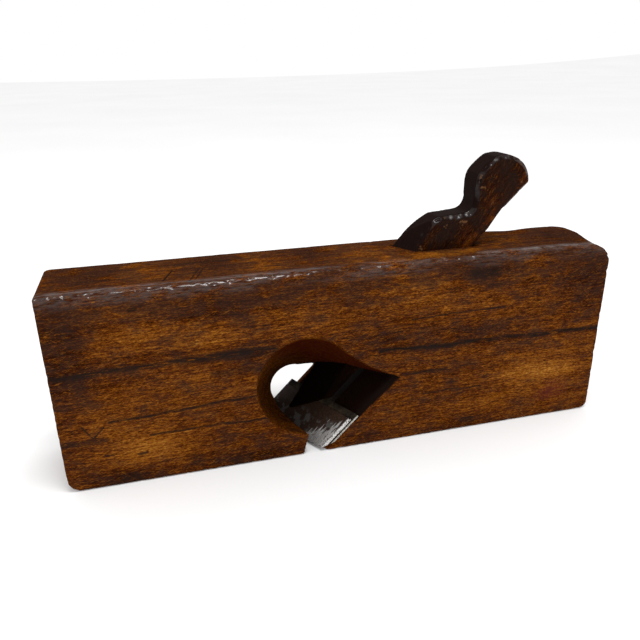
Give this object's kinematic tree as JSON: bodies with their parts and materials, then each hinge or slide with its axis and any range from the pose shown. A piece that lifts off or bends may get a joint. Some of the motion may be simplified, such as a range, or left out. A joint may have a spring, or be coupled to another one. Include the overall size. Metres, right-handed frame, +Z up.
{
  "type": "wooden rabbet plane",
  "caption": "Old wooden rabbet plane: a solid stock with a tear-shaped side throat, a skewed full-width iron and a wedge with a round finial.",
  "frame": {"origin": "middle of the sole, half way along the stock's length and width", "axes": "+X along the sole from the toe to the heel, +Y from the cheek that the throat opens widest in to the other cheek, +Z up from the sole"},
  "size_m": [0.2414, 0.0382, 0.1223],
  "materials": {
    "stock_wood": "oiled and grimy old beech, worn glossy along the top edge",
    "wedge_wood": "dark handled beech",
    "wrought_iron": "dark rusty forged iron",
    "laid_steel": "ground steel, bright near the edge and brown above"
  },
  "bodies": {
    "stock": {"stock": "stock_wood"},
    "iron": {"iron_body": "wrought_iron", "steel_facing": "laid_steel"},
    "wedge": {"wedge": "wedge_wood"}
  },
  "joints": [
    {"name": "iron_draws_down", "type": "slide", "parent": "stock", "child": "iron", "axis": [-0.7071, 0, -0.7071], "range_m": [0, 0.12]},
    {"name": "wedge_draws_up", "type": "slide", "parent": "stock", "child": "wedge", "axis": [0.7071, 0, 0.7071], "range_m": [0, 0.12]}
  ]
}
